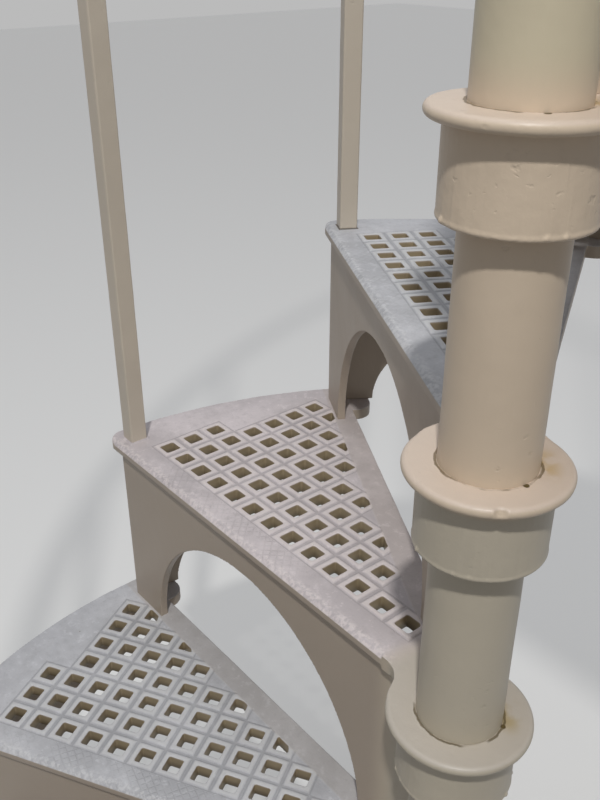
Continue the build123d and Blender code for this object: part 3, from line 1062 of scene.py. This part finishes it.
class StairPost(bpy.types.Operator):
    """Newel post, cap and base plate"""

    bl_idname = "stair.post"
    bl_label = "Post"

    def execute(self, context):
        paint = cream_paint("post_gloss", context.scene.stair_colours.cream)
        dressed("newel_post", paint, grain=0.0022, share=0.16)
        dressed("newel_cap", paint, grain=0.0012, share=0.50)
        dressed("base_plate", paint, grain=0.0016, share=0.18)
        return {"FINISHED"}


class StairBalusters(bpy.types.Operator):
    """Square balusters of the treads and the landing"""

    bl_idname = "stair.balusters"
    bl_label = "Balusters"

    def execute(self, context):
        paint = cream_paint("baluster_gloss", context.scene.stair_colours.bar)
        for node in BALUSTERS:
            dressed(node, paint, grain=0.0012, share=0.12)
        return {"FINISHED"}


class StairRails(bpy.types.Operator):
    """Sloping and level handrails"""

    bl_idname = "stair.rails"
    bl_label = "Rails"

    def execute(self, context):
        paint = cream_paint("rail_gloss", context.scene.stair_colours.bar)
        for node in RAILS:
            dressed(node, paint, grain=0.0014, share=0.20)
        return {"FINISHED"}


class StairStage(bpy.types.Operator):
    """Pale floor and backdrop, soft lamps and the camera"""

    bl_idname = "stair.stage"
    bl_label = "Stage"

    def execute(self, context):
        stage = context.scene.stair_stage
        unlit = (0.0, 0.0, 0.0, 1.0)
        shown_grey = (0.55, 0.55, 0.54, 1.0)
        bounced_grey = (0.26, 0.25, 0.24, 1.0)
        backdrop = Shader("pale_floor")
        seen = seen_plainly(backdrop)
        backdrop.finish(
            Base_Color=backdrop.blend(seen, bounced_grey, shown_grey),
            Emission_Color=backdrop.blend(seen, unlit, rgba([stage.backdrop] * 3)),
            Emission_Strength=1.0,
            Roughness=0.9,
        )
        reach = 12.0
        mesh = bpy.data.meshes.new("floor")
        corners = [(-reach, -reach, 0), (reach, -reach, 0), (reach, reach, 0), (-reach, reach, 0)]
        mesh.from_pydata(corners, [], [(0, 1, 2, 3)])
        floor = bpy.data.objects.new("floor", mesh)
        floor.data.materials.append(backdrop.material)
        context.scene.collection.objects.link(floor)
        self.lamps(context, stage)
        self.camera(context, stage)
        return {"FINISHED"}

    def lamps(self, context, stage):
        """One lamp above and in front, a broad cool one overhead, and an even sky."""
        warm = (1.0, 0.98, 0.95)
        cool = (0.84, 0.91, 1.0)
        self.lamp(context, "key", stage.key, size=0.16, place=(-1.13, 1.27, 3.62), colour=warm)
        self.lamp(context, "above", stage.above, size=2.0, place=(0.45, -0.30, 4.30), colour=cool)
        world = bpy.data.worlds.new("sky")
        world.use_nodes = True
        sky = Graph(world.node_tree)
        given_back = 0.80
        far = stage.backdrop + given_back * stage.fill
        even = (0.96 * stage.fill, 0.97 * stage.fill, stage.fill, 1.0)
        shown = sky.blend(seen_plainly(sky), even, rgba([far] * 3))
        sky.put(world.node_tree.nodes["Background"].inputs["Color"], shown)
        context.scene.world = world

    def lamp(self, context, name, power, size, place, colour):
        """A round lamp that is aimed at the middle of the stair."""
        target = Vector((0.15, 0.05, 0.8))
        light = bpy.data.lights.new(name, "AREA")
        light.shape = "DISK"
        light.size = size
        light.energy = power
        light.color = colour
        lamp = bpy.data.objects.new(name, light)
        lamp.location = place
        aim = target - lamp.location
        lamp.rotation_euler = aim.to_track_quat("-Z", "Y").to_euler()
        context.scene.collection.objects.link(lamp)

    def camera(self, context, stage):
        """The photo's place, heading and focal length."""
        frame_height = 800.0
        lens = bpy.data.cameras.new("camera")
        lens.sensor_fit = "VERTICAL"
        lens.sensor_height = 36.0
        lens.lens = stage.focal * lens.sensor_height / frame_height
        lens.clip_start = 0.02
        camera = bpy.data.objects.new("camera", lens)
        camera.location = stage.camera_place
        level = math.cos(stage.pitch)
        x = math.cos(stage.heading) * level
        y = math.sin(stage.heading) * level
        forward = Vector((x, y, math.sin(stage.pitch)))
        camera.rotation_euler = forward.to_track_quat("-Z", "Y").to_euler()
        context.scene.collection.objects.link(camera)
        context.scene.camera = camera


class StairPanel(bpy.types.Panel):
    """Sizes, colours and the buttons that make each part of the stair"""

    bl_label = "Spiral Stair"
    bl_idname = "VIEW3D_PT_stair"
    bl_space_type = "VIEW_3D"
    bl_region_type = "UI"
    bl_category = "Stair"

    def draw(self, context):
        for operator in MAKERS:
            self.layout.operator(operator.bl_idname)
        for group in GROUPS:
            box = self.layout.box()
            settings = getattr(context.scene, group)
            for name in settings.bl_rna.properties.keys():
                if name not in {"rna_type", "name"}:
                    box.prop(settings, name)


MAKERS = (StairTreads, StairLanding, StairPost, StairBalusters, StairRails, StairStage)
GROUPS = {"stair_sizes": StairSizes, "stair_colours": PaintColours, "stair_stage": StageSettings}


def register():
    for group in (*GROUPS.values(), *MAKERS, StairPanel):
        bpy.utils.register_class(group)
    for name, group in GROUPS.items():
        setattr(bpy.types.Scene, name, bpy.props.PointerProperty(type=group))


def unregister():
    for name in GROUPS:
        delattr(bpy.types.Scene, name)
    for group in (StairPanel, *reversed(MAKERS), *GROUPS.values()):
        bpy.utils.unregister_class(group)


def main():
    register()
    bpy.context.scene.view_settings.view_transform = "Standard"
    bpy.ops.stair.treads()
    bpy.ops.stair.landing()
    bpy.ops.stair.post()
    bpy.ops.stair.balusters()
    bpy.ops.stair.rails()
    bpy.ops.stair.stage()


if __name__ == "__main__":
    main()
